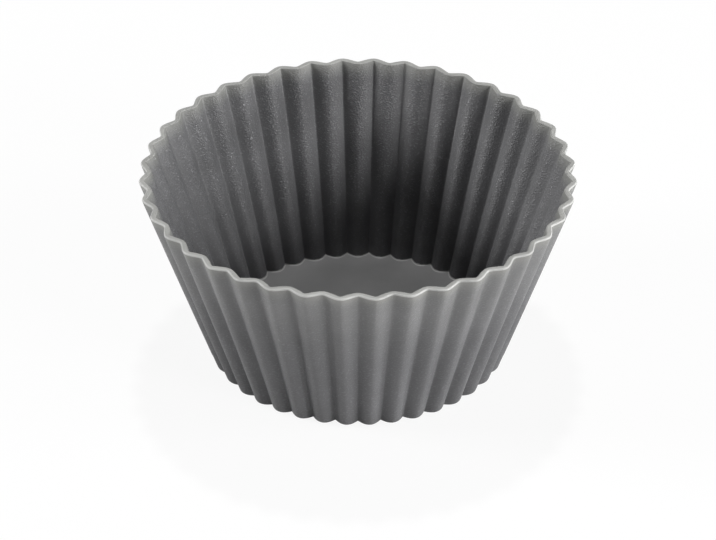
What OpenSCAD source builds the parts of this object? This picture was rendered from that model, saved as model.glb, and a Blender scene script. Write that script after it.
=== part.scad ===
// Fluted silicone baking cup, moulded in one piece.
// Millimetres, +Z up. The origin is the centre of the underside, and a crease faces -Y.
// The wall is one skin that leans outward. Outside, flutes meet in sharp creases. Inside, ridges
// stand behind those creases and meet behind the crests of the flutes. The flutes are round at the
// base and turn into flat-sided folds towards the rim.

/* [Cup] */
// Diameter of the rim across the crests of the flutes
rim_d = 70; // [52:1:120]
// Diameter of the base across the crests, before its edge is rounded
base_d = 48; // [34:1:68]
// Overall height
height = 32; // [20:0.5:70]

/* [Flutes] */
// Number of flutes around the wall
flute_count = 40; // [24:1:56]
// Depth of a flute, from its crest to the creases beside it
flute_depth = 1.1; // [0.3:0.1:1.6]
// Roundness of the crests at the rim: a larger value spreads the bend over more of the flute
crest_round = 0.4; // [0.1:0.1:1]
// Flat faces that make up each half of a flute's curve
half_flute_faces = 4; // [2:1:5]

/* [Wall] */
// Wall thickness behind a crest, square to the wall
wall = 0.8; // [0.5:0.1:2]
// Thickness of the floor
floor_t = 1; // [0.6:0.1:3]

/* [Edges] */
// Radius of the edge around the underside
base_round = 1.5; // [0.3:0.1:3]
// Radius between the floor and the wall inside
floor_round = 0.4; // [0.2:0.1:3]
// Radius of the two edges of the rim
rim_round = 0.25; // [0.1:0.05:0.3]

/* [Hidden] */

// Lean of the wall from upright, and its thickness measured level
lean = atan((rim_d - base_d) / (2 * height));
wall_level = wall / cos(lean);
// The rim keeps a flat top however thin the wall is
rim_edge = min(rim_round, 0.4 * wall);

// Faces along each rounded edge, from the underside round to the floor
base_faces = 4;
rim_faces = 2;
floor_faces = 3;

flute_points = 2 * half_flute_faces;
ring_points = flute_count * flute_points;
first_crease = -90;

// Radius of the wall's two faces on a crest line at height z
function outer_r(z) = base_d / 2 + z * tan(lean);
function inner_r(z) = outer_r(z) - wall_level;

// A rounded edge in the section, as [radius, height] points
function edge(centre, radius, from, to, count) = [
    for (i = [0 : count])
        let (a = from + (to - from) * i / count)
        centre + radius * [cos(a), sin(a)]
];

// The four rounded edges of the section. Each runs square to the wall at one of its ends,
// which is at -lean outside and at 180 - lean inside.
base_edge = edge(
    [outer_r(base_round) - base_round / cos(lean), base_round],
    base_round, -90, -lean, base_faces
);
outer_rim_edge = edge(
    [outer_r(height - rim_edge) - rim_edge / cos(lean), height - rim_edge],
    rim_edge, -lean, 90, rim_faces
);
inner_rim_edge = edge(
    [inner_r(height - rim_edge) + rim_edge / cos(lean), height - rim_edge],
    rim_edge, 90, 180 - lean, rim_faces
);
floor_edge = edge(
    [inner_r(floor_t + floor_round) - floor_round / cos(lean), floor_t + floor_round],
    floor_round, -lean, -90, floor_faces
);

// Rise of a flute at its point i and height z: 0 at its two ends and 1 in the middle.
// At the base it is an even arc. Towards the rim its sides flatten and the bend gathers at its crest.
function arch(i, z) =
    let (
        u = abs((i % flute_points) / half_flute_faces - 1),
        arc = 1 - u * u,
        fold = 1 - (norm([u, crest_round]) - crest_round) / (norm([1, crest_round]) - crest_round)
    )
    arc + (fold - arc) * z / height;

// One level ring of points around the cup for a point of the section.
// Outside, each flute arches out from its creases. Inside, each ridge arches in from its own,
// half a flute further round.
function outer_ring(p) = [
    for (i = [0 : ring_points - 1])
        ring_point(p[0] - flute_depth * (1 - arch(i, p[1])), p[1], i)
];
function inner_ring(p) = [
    for (i = [0 : ring_points - 1])
        ring_point(p[0] - flute_depth * arch(i + half_flute_faces, p[1]), p[1], i)
];
function ring_point(r, z, i) =
    let (a = first_crease + 360 * i / ring_points)
    [r * cos(a), r * sin(a), z];

// One skin through a stack of rings, closed by a fan of faces to a centre point at each end
module loft(rings, first_centre, last_centre) {
    n = len(rings[0]);
    last = len(rings) - 1;
    points = concat([first_centre], [for (ring = rings) each ring], [last_centre]);
    end = len(points) - 1;
    around = [0 : n - 1];
    function at(k, i) = 1 + k * n + i % n;
    first_fan = [for (i = around) [0, at(0, i), at(0, i + 1)]];
    last_fan = [for (i = around) [end, at(last, i + 1), at(last, i)]];
    bands = [
        for (k = [0 : last - 1], i = around) each [
            [at(k, i), at(k + 1, i), at(k + 1, i + 1)],
            [at(k, i), at(k + 1, i + 1), at(k, i + 1)]
        ]
    ];
    polyhedron(points, concat(first_fan, bands, last_fan), convexity = 8);
}

// The whole cup: up the outside from the underside, over the rim and down to the floor
module baking_cup() {
    color([0.43, 0.43, 0.44])
        loft(
            concat(
                [for (p = concat(base_edge, outer_rim_edge)) outer_ring(p)],
                [for (p = concat(inner_rim_edge, floor_edge)) inner_ring(p)]
            ),
            [0, 0, 0],
            [0, 0, floor_t]
        );
}

baking_cup();
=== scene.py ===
"""A fluted silicone baking cup, moulded in one piece, on a pale studio floor."""

import math

import bmesh
import bpy
from bpy.props import FloatProperty, FloatVectorProperty, IntProperty, PointerProperty
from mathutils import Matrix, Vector


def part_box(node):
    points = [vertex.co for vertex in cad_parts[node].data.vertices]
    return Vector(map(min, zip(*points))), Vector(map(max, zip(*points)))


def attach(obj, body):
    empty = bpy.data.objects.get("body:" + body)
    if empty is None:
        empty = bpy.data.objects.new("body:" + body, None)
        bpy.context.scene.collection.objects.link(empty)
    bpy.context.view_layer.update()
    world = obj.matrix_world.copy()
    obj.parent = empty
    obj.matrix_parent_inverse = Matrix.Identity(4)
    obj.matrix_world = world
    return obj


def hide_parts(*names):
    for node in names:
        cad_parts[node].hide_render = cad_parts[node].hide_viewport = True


bl_info = {
    "name": "Fluted Baking Cup",
    "version": (1, 0, 0),
    "blender": (4, 5, 0),
    "location": "View3D > Sidebar > Baking Cup",
    "description": "A one-piece fluted silicone baking cup and its studio",
    "category": "Add Mesh",
}

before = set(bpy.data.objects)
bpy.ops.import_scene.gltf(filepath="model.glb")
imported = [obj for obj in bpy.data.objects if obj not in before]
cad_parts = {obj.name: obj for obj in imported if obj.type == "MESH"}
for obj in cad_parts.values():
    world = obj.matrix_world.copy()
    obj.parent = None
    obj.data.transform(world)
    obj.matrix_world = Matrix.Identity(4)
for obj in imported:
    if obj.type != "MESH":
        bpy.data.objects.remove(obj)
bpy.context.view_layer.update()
CUP_LOW, CUP_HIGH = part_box("baking_cup")

CENTRE = (0.0, 0.0, 0.0)

# Soft boxes: name, azimuth and elevation in degrees, width and height in metres, watts
LAMPS = (
    ("right_light", -40, 20, 0.25, 0.2, 2.9),
    ("right_high_light", -10, 30, 0.2, 0.2, 1.4),
    ("right_low_light", -8, 5, 0.3, 0.1, 2.8),
    ("left_light", 180, 22.5, 0.25, 0.18, 4.1),
    ("back_light", 90, 70.5, 0.05, 0.05, 2.5),
)
LAMP_DISTANCE = 0.7
LAMP_TARGET = Vector((0.0, 0.0, 0.016))

# The studio floor lies this far below the cup, so that the two faces don't coincide
FLOOR_GAP = 2e-5
FLOOR_SIZE = 6.0
# Share of plain white, without the cup's shadow, in the floor that the camera sees
FLOOR_WHITE = 0.9

# Vertices closer than this are one
MERGE_GAP = 2e-6

# Steps along the section and across one flute
BASE_EDGE_STEPS = 8
WALL_STEPS = 14
RIM_EDGE_STEPS = 4
FLOOR_EDGE_STEPS = 6
FLUTE_STEPS = 20

# Rings that close the underside and the floor, as shares of the ring before
UNDERSIDE_RINGS = (0.8, 0.7, 0.5)
FLOOR_RINGS = (0.9, 0.85, 0.8, 0.7, 0.6, 0.4)

# Attributes that the finish reads: the grain, the painted light that makes the upper outside and the
# floor paler, and the painted highlights on the rim and round the floor
MARKS = ("grained", "pale", "painted_highlight")

# How far a surface has to point outward or inward to be wall, and upward to be floor or corner
WALL_FACING = 0.2
FLOOR_FACING = 0.9
CORNER_FACING = 0.5

# The painted highlight on the rim: its height in radii of the rim's rounding, how far its outer corner
# points outward and upward, and how far its top points upward
HIGHLIGHT_HEIGHT = 1.2
HIGHLIGHT_OUTWARD = 0.25
HIGHLIGHT_UPWARD = 0.1
HIGHLIGHT_TOP = 0.45

# Grain in the valleys, at the floor and outside, as shares of that on the ridges near the rim
VALLEY_GRAIN = 0.4
LOW_GRAIN = 0.3
OUTSIDE_GRAIN = 0.35
# The stretch of a ridge's rise over which the grain grows, and the share of the height above
# which it is full
GRAIN_RISE = (0.3, 0.9)
FULL_GRAIN_HEIGHT = 0.7

# Painted highlight on the rim's top and in the corner round the floor, as shares of that on the rim's
# edge
RIM_TOP_HIGHLIGHT = 0.5
CORNER_HIGHLIGHT = 0.55

SILICONE_IOR = 1.43

# Noise in turns per metre: clouds mottle the colour and the roughness, waves bend the surface
CLOUD_SCALE = 120.0
CLOUD_DETAIL = 3.0
CLOUD_RANGE = (0.3, 0.7)
CLOUD_SHADES = (0.92, 1.08)
CLOUD_ROUGHNESS_RANGE = (0.35, 0.65)
CLOUD_ROUGHNESS = (-0.03, 0.05)
WAVE_SCALE = 260.0
WAVE_DETAIL = 1.0

# The grain: its noise, how much wider than high a grain is, the noise values that are its tips,
# and how much lighter the tips are painted, as painted glints
GRAIN_DETAIL = 2.0
GRAIN_FLATNESS = 1.7
GRAIN_TIPS = (0.56, 0.68)
PAINTED_GLINT_GAIN = 2.0

# The painted glow near the rim, a warmer and paler band that stands in for light through the thin
# wall, goes on above the rim by this share of its height
RIM_FADE_OVERSHOOT = 0.3


class CupSizes(bpy.types.PropertyGroup):
    """Sizes of the moulded cup"""

    rim_diameter: FloatProperty(
        name="Rim diameter",
        description="Across the crests of the flutes at the rim",
        default=0.070,
        unit="LENGTH",
    )
    base_diameter: FloatProperty(
        name="Base diameter",
        description="Across the crests at the base, before its edge is rounded",
        default=0.048,
        unit="LENGTH",
    )
    height: FloatProperty(
        name="Height",
        description="From the underside to the top of the rim",
        default=CUP_HIGH.z - CUP_LOW.z,
        unit="LENGTH",
    )
    flutes: IntProperty(
        name="Flutes",
        description="Number of flutes around the wall",
        default=40,
    )
    flute_depth: FloatProperty(
        name="Flute depth",
        description="From a crest to the creases beside it",
        default=0.0011,
        unit="LENGTH",
    )
    crest_roundness: FloatProperty(
        name="Crest roundness",
        description="Bend of the crests at the rim. A larger value spreads it over more of the flute",
        default=0.45,
        subtype="FACTOR",
    )
    crease_softness: FloatProperty(
        name="Crease softness",
        description="Width of the rounding in a crease or a valley, as a share of half a flute",
        default=0.06,
        subtype="FACTOR",
    )
    rim_softness: FloatProperty(
        name="Rim softness",
        description="The same for the outer creases at the rim, which are softer",
        default=0.17,
        subtype="FACTOR",
    )
    wall: FloatProperty(
        name="Wall",
        description="Wall thickness behind a crest, square to the wall",
        default=0.0008,
        unit="LENGTH",
    )
    floor: FloatProperty(
        name="Floor",
        description="Thickness of the floor",
        default=0.001,
        unit="LENGTH",
    )
    base_round: FloatProperty(
        name="Base rounding",
        description="Radius of the edge around the underside",
        default=0.0015,
        unit="LENGTH",
    )
    floor_round: FloatProperty(
        name="Floor rounding",
        description="Radius between the floor and the wall inside",
        default=0.0004,
        unit="LENGTH",
    )
    rim_round: FloatProperty(
        name="Rim rounding",
        description="Radius of the two edges of the rim",
        default=0.00025,
        unit="LENGTH",
    )
    rim_bend: FloatVectorProperty(
        name="Rim bend",
        description="How much the soft rim is longer to the side and to the back than a round one",
        size=2,
        default=(-0.012, 0.018),
    )
    rim_shift: FloatProperty(
        name="Rim shift",
        description="How far the soft rim leans to the back",
        default=0.0005,
        unit="LENGTH",
    )


class CupFinish(bpy.types.PropertyGroup):
    """Colour and surface of the silicone"""

    colour: FloatVectorProperty(
        name="Colour",
        description="Grey of the silicone",
        subtype="COLOR",
        size=3,
        default=(0.124, 0.124, 0.128),
    )
    # Painted light: the outside is painted paler towards the rim, and the floor inside is painted
    # paler than the wall, standing in for light that falls there
    painted_light_colour: FloatVectorProperty(
        name="Upper colour",
        description="Paler grey that the outside fades to below the rim",
        subtype="COLOR",
        size=3,
        default=(0.168, 0.168, 0.168),
    )
    # Painted light: the last stretch below the rim is painted warmer and paler, standing in for light
    # that shines through the thin wall
    painted_glow_colour: FloatVectorProperty(
        name="Rim colour",
        description="Warmer and paler grey of the last stretch below the rim",
        subtype="COLOR",
        size=3,
        default=(0.24, 0.242, 0.225),
    )
    # Painted highlight: the palest grey, painted along the rim's outer edge, fainter on its top and in
    # the corner round the floor
    painted_highlight_colour: FloatVectorProperty(
        name="Edge colour",
        description="Palest grey, on the outer edge of the trimmed rim",
        subtype="COLOR",
        size=3,
        default=(0.45, 0.45, 0.438),
    )
    painted_light_fade: FloatProperty(
        name="Upper fade",
        description="Height over which the outside grows paler",
        default=0.018,
        unit="LENGTH",
    )
    painted_glow_fade: FloatProperty(
        name="Rim fade",
        description="Height of the last stretch below the rim",
        default=0.0028,
        unit="LENGTH",
    )
    roughness: FloatProperty(
        name="Roughness",
        description="Roughness of the moulded skin",
        default=0.45,
        subtype="FACTOR",
    )
    speck_roughness: FloatProperty(
        name="Speck roughness",
        description="Roughness of the tips of the grain, which glint",
        default=0.2,
        subtype="FACTOR",
    )
    grain_size: FloatProperty(
        name="Grain size",
        description="Size of one grain left by the sanded mould",
        default=0.00032,
        unit="LENGTH",
    )
    grain_depth: FloatProperty(
        name="Grain depth",
        description="Depth of the grain on the inner wall",
        default=0.00018,
        unit="LENGTH",
    )
    wave_depth: FloatProperty(
        name="Wave depth",
        description="Depth of the soft unevenness of the skin",
        default=0.0001,
        unit="LENGTH",
    )


class CupStudio(bpy.types.PropertyGroup):
    """Camera, lights and floor"""

    lens: FloatProperty(
        name="Lens",
        description="Focal length of the camera, in millimetres",
        default=150.0,
    )
    distance: FloatProperty(
        name="Distance",
        description="From the camera to the point that it looks at",
        default=0.480,
        unit="LENGTH",
    )
    elevation: FloatProperty(
        name="Elevation",
        description="Height of the camera above the horizon",
        default=math.radians(34.2),
        subtype="ANGLE",
    )
    aim_height: FloatProperty(
        name="Aim height",
        description="Height on the cup's axis that the camera looks at",
        default=0.0135,
        unit="LENGTH",
    )
    floor_colour: FloatVectorProperty(
        name="Floor colour",
        description="Colour of the studio floor",
        subtype="COLOR",
        size=3,
        default=(0.82, 0.82, 0.82),
    )
    world_strength: FloatProperty(
        name="Room light",
        description="Strength of the even light of the room",
        default=0.006,
    )


def lean(size):
    """Angle of the wall from upright."""
    return math.atan((size.rim_diameter - size.base_diameter) / (2 * size.height))


def outer_radius(size, height):
    """Radius of the wall's outer face on a crest."""
    return size.base_diameter / 2 + height * math.tan(lean(size))


def inner_radius(size, height):
    """Radius of the wall's inner face behind a crest."""
    return outer_radius(size, height) - size.wall / math.cos(lean(size))


def rounded(centre, radius, start, end, steps):
    """Points (radius, height) of a rounded edge, from one angle to another."""
    points = []
    for step in range(steps + 1):
        angle = start + (end - start) * step / steps
        across = centre[0] + radius * math.cos(angle)
        up = centre[1] + radius * math.sin(angle)
        points.append((across, up))
    return points


def straight(start, end, steps):
    """Points between two ends of a straight stretch, without the ends."""
    points = []
    for step in range(1, steps):
        share = step / steps
        across = start[0] + (end[0] - start[0]) * share
        up = start[1] + (end[1] - start[1]) * share
        points.append((across, up))
    return points


def outer_line(size):
    """The outside of the section on a crest, from the underside up to the rim."""
    tilt = lean(size)
    low = size.base_round
    high = size.height - size.rim_round
    base_centre = (outer_radius(size, low) - size.base_round / math.cos(tilt), low)
    rim_centre = (outer_radius(size, high) - size.rim_round / math.cos(tilt), high)
    base = rounded(base_centre, size.base_round, -math.pi / 2, -tilt, BASE_EDGE_STEPS)
    rim = rounded(rim_centre, size.rim_round, -tilt, math.pi / 2, RIM_EDGE_STEPS)
    return base + straight(base[-1], rim[0], WALL_STEPS) + rim


def inner_line(size):
    """The inside of the section behind a crest, from the rim down to the floor."""
    tilt = lean(size)
    high = size.height - size.rim_round
    low = size.floor + size.floor_round
    rim_centre = (inner_radius(size, high) + size.rim_round / math.cos(tilt), high)
    floor_centre = (inner_radius(size, low) - size.floor_round / math.cos(tilt), low)
    rim = rounded(rim_centre, size.rim_round, math.pi / 2, math.pi - tilt, RIM_EDGE_STEPS)
    floor = rounded(floor_centre, size.floor_round, -tilt, -math.pi / 2, FLOOR_EDGE_STEPS)
    return rim + straight(rim[-1], floor[0], WALL_STEPS) + floor


def eased(distance, softness):
    """A distance from 0 to 1 whose start is rounded off, as in a soft crease."""
    return (math.hypot(distance, softness) - softness) / (math.hypot(1.0, softness) - softness)


def flute_rise(size, from_crease, softness, at_rim):
    """Rise of a flute, 0 in its crease and 1 on its crest. At the base it is an even arc. At the
    rim its sides are flat and meet in a rounded crest."""
    side = 1.0 - eased(from_crease, softness)
    if at_rim:
        return 1.0 - eased(side, size.crest_roundness)
    return 1.0 - side ** 2


def outer_shift(size, share, softness, at_rim):
    """How far the outer face lies from its crest, a share of the way across a flute."""
    from_crease = 1.0 - abs(2.0 * share - 1.0)
    return -size.flute_depth * (1.0 - flute_rise(size, from_crease, softness, at_rim))


def inner_shift(size, share, softness, at_rim):
    """The same for the inner face, whose ridges stand behind the outer creases."""
    from_valley = abs(2.0 * share - 1.0)
    return -size.flute_depth * flute_rise(size, from_valley, softness, at_rim)


def flute_shares():
    """Places across a flute, closer together beside its creases and its crest."""
    half = FLUTE_STEPS // 2
    shares = [(1.0 - math.cos(math.pi * step / half)) / 4.0 for step in range(half + 1)]
    return shares + [0.5 + share for share in shares[1:]]


def choose(piece):
    """Makes a piece the only one selected, and the active one."""
    bpy.ops.object.select_all(action="DESELECT")
    piece.select_set(True)
    bpy.context.view_layer.objects.active = piece


def edit(piece):
    """Opens a piece in edit mode."""
    choose(piece)
    bpy.ops.object.mode_set(mode="EDIT")


def leave_edit():
    """Goes back to object mode."""
    bpy.ops.object.mode_set(mode="OBJECT")


def move(value):
    """Moves the selection."""
    bpy.ops.transform.translate(value=value)


def stretch_level(value, centre):
    """Resizes the selection to the side and to the back, about a centre."""
    bpy.ops.transform.resize(value=(*value, 1.0), center_override=centre)


def turn_about_axis(angle):
    """Turns the selection about the cup's axis. Without a window the operator turns backwards."""
    bpy.ops.transform.rotate(value=-angle, orient_axis="Z", center_override=CENTRE)


def extrude(value=(0.0, 0.0, 0.0)):
    """Extrudes the selection and moves what is new."""
    bpy.ops.mesh.extrude_region_move(TRANSFORM_OT_translate={"value": value})


def select_border(piece, test):
    """Selects the open edges whose ends both pass a test of their place."""
    bpy.ops.mesh.select_mode(type="EDGE")
    bpy.ops.mesh.select_all(action="DESELECT")
    mesh = bmesh.from_edit_mesh(piece.data)
    for edge in mesh.edges:
        edge.select_set(edge.is_boundary and all(test(end.co) for end in edge.verts))
    bmesh.update_edit_mesh(piece.data)


def draw_line(name, points):
    """Draws a line of edges in the XZ plane: one corner of a plane, extruded point by point."""
    bpy.ops.mesh.primitive_plane_add(size=0.001, location=(points[0][0], 0.0, points[0][1]))
    piece = bpy.context.object
    piece.name = name
    piece.data.name = name
    bpy.ops.object.transform_apply(location=True)
    edit(piece)
    bpy.ops.mesh.select_all(action="SELECT")
    bpy.ops.mesh.merge(type="CENTER")
    for before, after in zip(points, points[1:]):
        extrude((after[0] - before[0], 0.0, after[1] - before[1]))
    leave_edit()
    return piece


def sweep_flute(piece, size, shift, rim_softness, foot):
    """Sweeps the line once across a flute. Each new line moves in or out with the flute's curve at
    the base, and is stretched from the foot of the wall so that its top follows the rim's folds."""
    pitch = 2.0 * math.pi / size.flutes
    reach = size.height * math.tan(lean(size))
    shares = flute_shares()
    base = [shift(size, share, size.crease_softness, False) for share in shares]
    rim = [shift(size, share, rim_softness, True) for share in shares]
    stretch = [1.0 + (top - low) / reach for top, low in zip(rim, base)]
    edit(piece)
    bpy.ops.mesh.select_all(action="SELECT")
    move((base[0], 0.0, 0.0))
    for step in range(1, len(shares)):
        extrude()
        turn_about_axis(pitch * (shares[step] - shares[step - 1]))
        outward = Vector((math.cos(pitch * shares[step]), math.sin(pitch * shares[step]), 0.0))
        change = stretch[step] / stretch[step - 1]
        stretch_level((change, change), outward * (foot + base[step - 1]))
        move(outward * (base[step] - base[step - 1]))
    leave_edit()


def repeat_round_axis(piece, count):
    """Copies one flute all the way round, each copy welded to the next."""
    bpy.ops.object.empty_add(location=CENTRE, rotation=(0.0, 0.0, 2.0 * math.pi / count))
    pitch = bpy.context.object
    choose(piece)
    bpy.ops.object.modifier_add(type="ARRAY")
    array = piece.modifiers[-1]
    array.count = count
    array.use_relative_offset = False
    array.use_object_offset = True
    array.offset_object = pitch
    array.use_merge_vertices = True
    array.use_merge_vertices_cap = True
    array.merge_threshold = MERGE_GAP
    bpy.ops.object.modifier_apply(modifier=array.name)
    bpy.data.objects.remove(pitch)


def close_disc(piece, level, rings):
    """Closes an open ring with smaller and smaller rings and a centre point."""
    select_border(piece, lambda place: abs(place.z - level) < MERGE_GAP)
    for share in rings:
        extrude()
        stretch_level((share, share), (0.0, 0.0, level))
    extrude()
    bpy.ops.mesh.merge(type="CENTER")


def smooth_share(value, low, high):
    """Rises smoothly from 0 at one value to 1 at another."""
    share = min(max((value - low) / (high - low), 0.0), 1.0)
    return share * share * (3.0 - 2.0 * share)


def between(low, high, share):
    """The value a share of the way between two others."""
    return low + (high - low) * share


def inner_grain(size, radius, height):
    """Grain of a place on the inner wall: full on the ridges near the rim, less elsewhere."""
    rise = (inner_radius(size, height) - radius) / size.flute_depth
    ridge = between(VALLEY_GRAIN, 1.0, smooth_share(rise, *GRAIN_RISE))
    up = smooth_share(height, size.floor, FULL_GRAIN_HEIGHT * size.height)
    return ridge * between(LOW_GRAIN, 1.0, up)


def mark_surfaces(piece, size, finish):
    """Writes the attributes that the finish reads: how grained the cup is, where it is painted paler
    as painted light, on the upper outside and on the floor, and the painted highlights, along the rim
    and in the corner round the floor."""
    for name in MARKS:
        bpy.ops.geometry.attribute_add(name=name, domain="POINT", data_type="FLOAT")
    grained, pale, painted_highlight = (piece.data.attributes[name].data for name in MARKS)
    corner = size.floor + size.floor_round
    highlight_foot = size.height - HIGHLIGHT_HEIGHT * size.rim_round
    for vertex in piece.data.vertices:
        place, normal, mark = vertex.co, vertex.normal, vertex.index
        outward = Vector((place.x, place.y, 0.0))
        facing = normal.dot(outward.normalized())
        in_corner = size.floor + MERGE_GAP < place.z < corner - MERGE_GAP
        # Painted highlight in the corner round the floor
        if in_corner and normal.z > CORNER_FACING:
            painted_highlight[mark].value = CORNER_HIGHLIGHT
        elif facing < -WALL_FACING:
            grained[mark].value = inner_grain(size, outward.length, place.z)
        elif facing > WALL_FACING:
            grained[mark].value = OUTSIDE_GRAIN
        # Painted light: the outside is painted paler towards the rim, and the floor is painted paler
        # than the wall
        if facing > WALL_FACING:
            pale[mark].value = smooth_share(place.z, size.height - finish.painted_light_fade, size.height)
        elif normal.z > FLOOR_FACING and place.z < corner:
            pale[mark].value = 1.0
        # Painted highlight along the rim's outer edge, and fainter on its top
        if place.z > highlight_foot and facing > HIGHLIGHT_OUTWARD and normal.z > HIGHLIGHT_UPWARD:
            painted_highlight[mark].value = 1.0
        elif place.z > highlight_foot and normal.z > HIGHLIGHT_TOP:
            painted_highlight[mark].value = RIM_TOP_HIGHLIGHT


def bend_rim(piece, size):
    """Bends the soft rim slightly out of round: a cage round the cup, whose four top points move."""
    bpy.ops.object.add(type="LATTICE", location=(0.0, 0.0, size.height / 2))
    cage = bpy.context.object
    cage.scale = (size.rim_diameter, size.rim_diameter, size.height)
    for axis in "uvw":
        setattr(cage.data, "interpolation_type_" + axis, "KEY_LINEAR")
    for point in cage.data.points:
        point.select = point.co.z > 0.0
    bpy.ops.object.mode_set(mode="EDIT")
    wider, deeper = size.rim_bend
    stretch_level((1.0 + wider, 1.0 + deeper), (0.0, 0.0, size.height))
    move((0.0, size.rim_shift, 0.0))
    leave_edit()
    choose(piece)
    bpy.ops.object.modifier_add(type="LATTICE")
    bend = piece.modifiers[-1]
    bend.object = cage
    bpy.ops.object.modifier_apply(modifier=bend.name)
    bpy.data.objects.remove(cage)


def build_cup(size):
    """The whole cup: an outer and an inner skin, joined over the rim and closed at the floor."""
    outer = draw_line("baking_cup_silicone", outer_line(size))
    sweep_flute(outer, size, outer_shift, size.rim_softness, outer_radius(size, 0.0))
    repeat_round_axis(outer, size.flutes)
    inner = draw_line("inner_skin", inner_line(size))
    sweep_flute(inner, size, inner_shift, size.crease_softness, inner_radius(size, 0.0))
    repeat_round_axis(inner, size.flutes)

    choose(outer)
    inner.select_set(True)
    bpy.ops.object.join()
    edit(outer)
    select_border(outer, lambda place: abs(place.z - size.height) < MERGE_GAP)
    bpy.ops.mesh.bridge_edge_loops()
    close_disc(outer, 0.0, UNDERSIDE_RINGS)
    close_disc(outer, size.floor, FLOOR_RINGS)
    bpy.ops.mesh.select_all(action="SELECT")
    bpy.ops.mesh.remove_doubles(threshold=MERGE_GAP)
    bpy.ops.mesh.normals_make_consistent(inside=False)
    leave_edit()
    bpy.ops.object.shade_smooth()
    return outer


def opaque(colour):
    """A colour with its fourth value."""
    return (*colour, 1.0)


def feed(tree, value, socket):
    """Links another node's output to a socket, or sets the socket to a constant."""
    if isinstance(value, bpy.types.NodeSocket):
        tree.links.new(value, socket)
    else:
        socket.default_value = value


def noise(tree, place, scale, detail):
    """Noise with its scale in turns per metre."""
    texture = tree.nodes.new("ShaderNodeTexNoise")
    texture.inputs["Scale"].default_value = scale
    texture.inputs["Detail"].default_value = detail
    tree.links.new(place, texture.inputs["Vector"])
    return texture.outputs["Fac"]


def blend(tree, share, first, second, kind="RGBA", how="MIX"):
    """A mix of two colours or values. Each input is a constant or another node's output."""
    mix = tree.nodes.new("ShaderNodeMix")
    mix.data_type = kind
    mix.blend_type = how
    feed(tree, share, mix.inputs["Factor"])
    feed(tree, first, mix.inputs["A"])
    feed(tree, second, mix.inputs["B"])
    return mix.outputs["Result"]


def spread(tree, value, before, after=(0.0, 1.0)):
    """Maps one range of values smoothly to another."""
    ramp = tree.nodes.new("ShaderNodeMapRange")
    ramp.interpolation_type = "SMOOTHSTEP"
    ramp.inputs["From Min"].default_value, ramp.inputs["From Max"].default_value = before
    ramp.inputs["To Min"].default_value, ramp.inputs["To Max"].default_value = after
    tree.links.new(value, ramp.inputs["Value"])
    return ramp.outputs["Result"]


def product(tree, first, second):
    """One value times another."""
    times = tree.nodes.new("ShaderNodeMath")
    times.operation = "MULTIPLY"
    feed(tree, first, times.inputs[0])
    feed(tree, second, times.inputs[1])
    return times.outputs["Value"]


def bump(tree, height, distance):
    """A bump node that raises the surface by a height, which is another node's output."""
    relief = tree.nodes.new("ShaderNodeBump")
    relief.inputs["Distance"].default_value = distance
    tree.links.new(height, relief.inputs["Height"])
    return relief


def read_mark(tree, name):
    """One of the attributes that mark_surfaces wrote."""
    mark = tree.nodes.new("ShaderNodeAttribute")
    mark.attribute_name = name
    return mark.outputs["Fac"]


def silicone(finish, size):
    """Matt grey silicone, faintly mottled and grained by its mould, with painted light: paler towards
    the rim and on the floor, a painted glow below the rim, painted glints on the grain and painted
    highlights on the rim.
    """
    material = bpy.data.materials.new("Grey silicone")
    material.use_nodes = True
    tree = material.node_tree
    skin = tree.nodes["Principled BSDF"]
    skin.inputs["IOR"].default_value = SILICONE_IOR
    place = tree.nodes.new("ShaderNodeTexCoord").outputs["Object"]
    grained, pale, painted_highlight = (read_mark(tree, name) for name in MARKS)

    clouds = noise(tree, place, CLOUD_SCALE, CLOUD_DETAIL)
    flattened = tree.nodes.new("ShaderNodeMapping")
    flattened.inputs["Scale"].default_value = (1.0, 1.0, GRAIN_FLATNESS)
    tree.links.new(place, flattened.inputs["Vector"])
    grain = noise(tree, flattened.outputs["Vector"], 1.0 / finish.grain_size, GRAIN_DETAIL)
    tips = product(tree, spread(tree, grain, GRAIN_TIPS), grained)
    painted_glint_colour = [PAINTED_GLINT_GAIN * part for part in finish.colour]

    height = tree.nodes.new("ShaderNodeSeparateXYZ")
    tree.links.new(place, height.inputs[0])
    rim_band = (size.height - finish.painted_glow_fade, size.height + RIM_FADE_OVERSHOOT * finish.painted_glow_fade)
    painted_glow = spread(tree, height.outputs["Z"], rim_band)
    # Painted light: the outside paler towards the rim and the floor paler than the wall
    colour = blend(tree, pale, opaque(finish.colour), opaque(finish.painted_light_colour))
    # Painted light: a warm, pale glow painted on the last stretch below the rim
    colour = blend(tree, painted_glow, colour, opaque(finish.painted_glow_colour))
    # Painted glints: the grain's tips are painted lighter; they are also less rough
    colour = blend(tree, tips, colour, opaque(painted_glint_colour))
    # Painted highlights on the rim and in the corner round the floor
    colour = blend(tree, painted_highlight, colour, opaque(finish.painted_highlight_colour))
    shade = spread(tree, clouds, CLOUD_RANGE, CLOUD_SHADES)
    colour = blend(tree, 1.0, colour, shade, how="MULTIPLY")
    tree.links.new(colour, skin.inputs["Base Color"])

    roughness = [finish.roughness + change for change in CLOUD_ROUGHNESS]
    uneven = spread(tree, clouds, CLOUD_ROUGHNESS_RANGE, roughness)
    glossier = blend(tree, tips, uneven, finish.speck_roughness, kind="FLOAT")
    tree.links.new(glossier, skin.inputs["Roughness"])

    fine = bump(tree, product(tree, grain, grained), finish.grain_depth)
    soft = bump(tree, noise(tree, place, WAVE_SCALE, WAVE_DETAIL), finish.wave_depth)
    tree.links.new(fine.outputs["Normal"], soft.inputs["Normal"])
    tree.links.new(soft.outputs["Normal"], skin.inputs["Normal"])
    return material


def camera_ray(tree):
    """1 for what the camera sees and 0 for light that bounces."""
    return tree.nodes.new("ShaderNodeLightPath").outputs["Is Camera Ray"]


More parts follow.
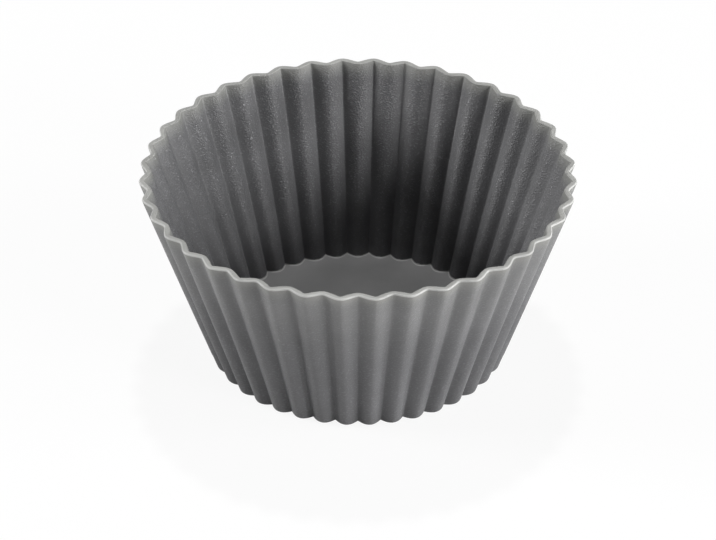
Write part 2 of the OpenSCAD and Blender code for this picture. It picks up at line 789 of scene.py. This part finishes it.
def floor_paint(studio):
    """Pale floor that the camera sees as white, with the cup's shadow kept faint."""
    material = bpy.data.materials.new("Pale studio floor")
    material.use_nodes = True
    tree = material.node_tree
    paint = tree.nodes["Principled BSDF"]
    paint.inputs["Base Color"].default_value = opaque(studio.floor_colour)
    paint.inputs["Roughness"].default_value = 0.9
    paint.inputs["Specular IOR Level"].default_value = 0.0
    white = tree.nodes.new("ShaderNodeEmission")
    seen = tree.nodes.new("ShaderNodeMixShader")
    tree.links.new(product(tree, camera_ray(tree), FLOOR_WHITE), seen.inputs["Fac"])
    tree.links.new(paint.outputs["BSDF"], seen.inputs[1])
    tree.links.new(white.outputs["Emission"], seen.inputs[2])
    tree.links.new(seen.outputs["Shader"], tree.nodes["Material Output"].inputs["Surface"])
    return material


def lay_floor(studio):
    """A wide pale floor under the cup."""
    bpy.ops.mesh.primitive_plane_add(size=FLOOR_SIZE, location=(0.0, 0.0, -FLOOR_GAP))
    floor = bpy.context.object
    floor.name = "studio_floor"
    floor.data.materials.append(floor_paint(studio))


def light_room(scene, strength):
    """An even room light, which the camera sees as white."""
    scene.world = bpy.data.worlds.new("Studio room")
    scene.world.use_nodes = True
    tree = scene.world.node_tree
    room = tree.nodes["Background"]
    room.inputs["Color"].default_value = (1.0, 1.0, 1.0, 1.0)
    seen = blend(tree, camera_ray(tree), strength, 1.0, kind="FLOAT")
    tree.links.new(seen, room.inputs["Strength"])


def soft_box(name, azimuth, elevation, width, height, power):
    """A rectangular studio light that faces the cup. Azimuth 0 is to its right and 90 behind it."""
    around, up = math.radians(azimuth), math.radians(elevation)
    level = math.cos(up)
    outward = Vector((level * math.cos(around), level * math.sin(around), math.sin(up)))
    bpy.ops.object.light_add(type="AREA", location=LAMP_TARGET + outward * LAMP_DISTANCE)
    lamp = bpy.context.object
    lamp.name = name
    lamp.rotation_euler = (-outward).to_track_quat("-Z", "Y").to_euler()
    lamp.data.shape = "RECTANGLE"
    lamp.data.size = width
    lamp.data.size_y = height
    lamp.data.energy = power


def place_camera(scene, studio):
    """A camera in front of the cup, at the height of the photograph's."""
    back = Vector((0.0, -math.cos(studio.elevation), math.sin(studio.elevation)))
    aim = Vector((0.0, 0.0, studio.aim_height))
    bpy.ops.object.camera_add(location=aim + back * studio.distance)
    camera = bpy.context.object
    camera.name = "studio_camera"
    camera.rotation_euler = (-back).to_track_quat("-Z", "Y").to_euler()
    camera.data.lens = studio.lens
    camera.data.clip_start = 0.01
    camera.data.clip_end = 20.0
    scene.camera = camera


class BAKINGCUP_OT_cup(bpy.types.Operator):
    """Model the fluted cup and give it its silicone finish, with light and highlights painted into its
    colour
    """

    bl_idname = "bakingcup.cup"
    bl_label = "Baking cup"

    def execute(self, context):
        size = context.scene.cup_sizes
        finish = context.scene.cup_finish
        cup = build_cup(size)
        mark_surfaces(cup, size, finish)
        bend_rim(cup, size)
        cup.data.materials.append(silicone(finish, size))
        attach(cup, "root")
        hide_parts("baking_cup")
        return {"FINISHED"}


class BAKINGCUP_OT_studio(bpy.types.Operator):
    """Set up the pale floor, the soft lights and the camera"""

    bl_idname = "bakingcup.studio"
    bl_label = "Studio"

    def execute(self, context):
        scene = context.scene
        lay_floor(scene.cup_studio)
        for lamp in LAMPS:
            soft_box(*lamp)
        light_room(scene, scene.cup_studio.world_strength)
        place_camera(scene, scene.cup_studio)
        scene.view_settings.view_transform = "Standard"
        return {"FINISHED"}


class BAKINGCUP_PT_panel(bpy.types.Panel):
    """Sizes, finish and studio of the baking cup"""

    bl_idname = "BAKINGCUP_PT_panel"
    bl_label = "Baking Cup"
    bl_space_type = "VIEW_3D"
    bl_region_type = "UI"
    bl_category = "Baking Cup"

    def draw(self, context):
        layout = self.layout
        for settings in (context.scene.cup_sizes, context.scene.cup_finish, context.scene.cup_studio):
            box = layout.box()
            for name in settings.bl_rna.properties.keys():
                if name not in {"rna_type", "name"}:
                    box.prop(settings, name)
        layout.operator("bakingcup.cup")
        layout.operator("bakingcup.studio")


CLASSES = (
    CupSizes,
    CupFinish,
    CupStudio,
    BAKINGCUP_OT_cup,
    BAKINGCUP_OT_studio,
    BAKINGCUP_PT_panel,
)


def register():
    for cls in CLASSES:
        bpy.utils.register_class(cls)
    bpy.types.Scene.cup_sizes = PointerProperty(type=CupSizes)
    bpy.types.Scene.cup_finish = PointerProperty(type=CupFinish)
    bpy.types.Scene.cup_studio = PointerProperty(type=CupStudio)


def unregister():
    del bpy.types.Scene.cup_studio
    del bpy.types.Scene.cup_finish
    del bpy.types.Scene.cup_sizes
    for cls in reversed(CLASSES):
        bpy.utils.unregister_class(cls)


def main():
    register()
    bpy.ops.bakingcup.cup()
    bpy.ops.bakingcup.studio()


if __name__ == "__main__":
    main()
